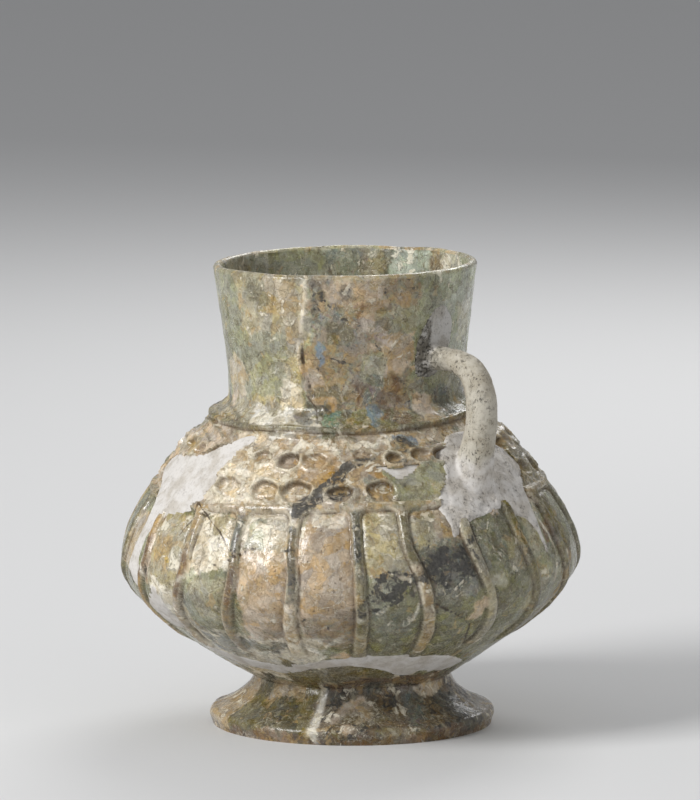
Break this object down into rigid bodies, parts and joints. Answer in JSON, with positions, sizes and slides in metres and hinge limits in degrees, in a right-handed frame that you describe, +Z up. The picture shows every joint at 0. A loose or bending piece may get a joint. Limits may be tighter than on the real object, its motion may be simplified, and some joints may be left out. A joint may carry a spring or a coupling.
{
  "type": "glass vase",
  "caption": "Squat blown-glass vase with a flared neck, ribbed bowl, net band, spread foot and a plaster handle, broken and mended.",
  "frame": {"origin": "middle of the vase's box, on the surface that its foot stands on", "axes": "+Z up; -Y to the front, where the handle stands to the right, at +X and -Y"},
  "size_m": [0.1596, 0.16, 0.1611],
  "materials": {
    "weathered_glass": "pale green blown glass, weathered: beige, brown and black crusts with some iridescence",
    "plaster": "matt off-white gap-fill plaster with small dark pits"
  },
  "bodies": {
    "root": {"glass_vessel": "weathered_glass", "plaster_handle": "plaster", "plaster_fill_shoulder": "plaster", "plaster_fill_flank": "plaster", "plaster_fill_base": "plaster", "plaster_fill_front": "plaster"}
  },
  "joints": []
}
